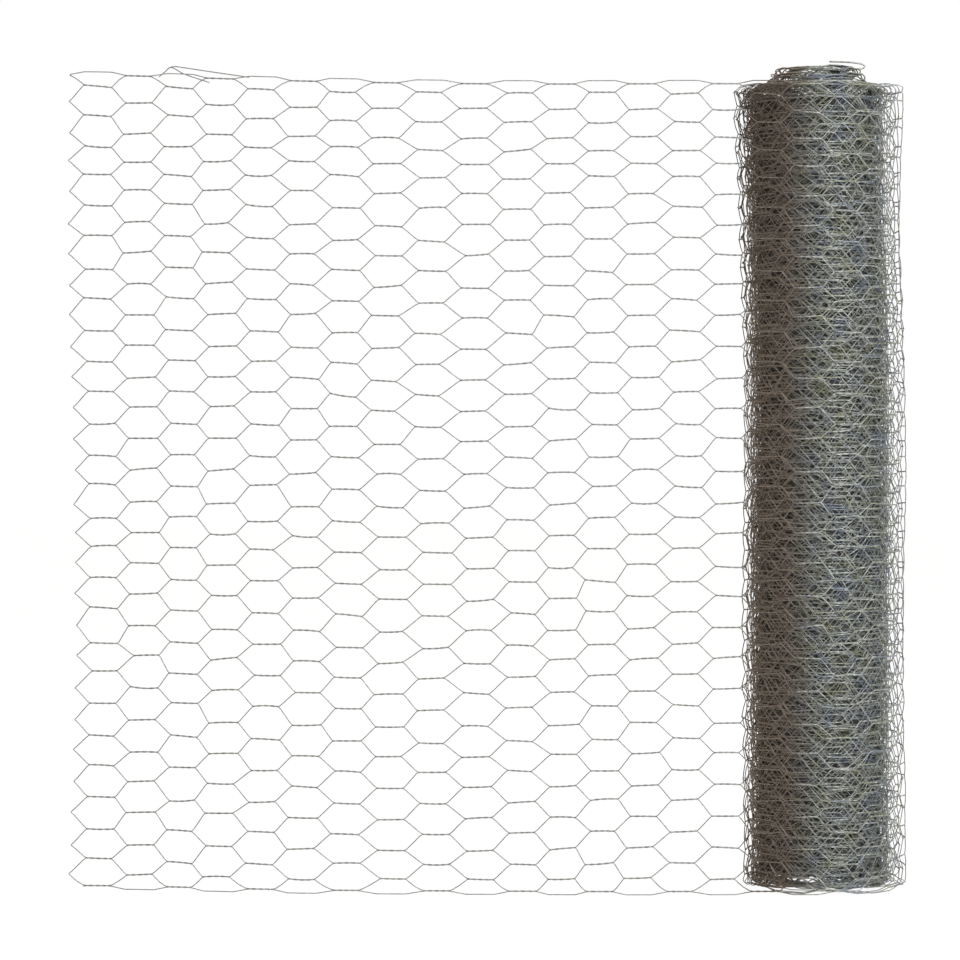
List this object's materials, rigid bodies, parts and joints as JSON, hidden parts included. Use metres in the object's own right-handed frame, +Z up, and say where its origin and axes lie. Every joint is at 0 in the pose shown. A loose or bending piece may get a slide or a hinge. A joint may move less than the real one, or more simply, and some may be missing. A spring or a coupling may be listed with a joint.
{
  "type": "roll of chicken wire",
  "caption": "Roll of galvanised hexagonal wire netting standing on its end, with a stretch pulled out flat beside it and an open bore down its middle.",
  "frame": {"origin": "middle of the footprint of roll and flat stretch, at floor level", "axes": "+Z up along the roll's axis, -X along the flat stretch to its cut end, -Y the side of the roll that the flat stretch leaves from"},
  "size_m": [1.0314, 0.2037, 1.02],
  "materials": {
    "galvanised_wire": "dull galvanised, darker and browner where the turns lie tight"
  },
  "bodies": {
    "root": {"rolled_netting": "galvanised_wire", "flat_netting_inner": "galvanised_wire", "flat_netting_outer": "galvanised_wire"}
  },
  "joints": []
}
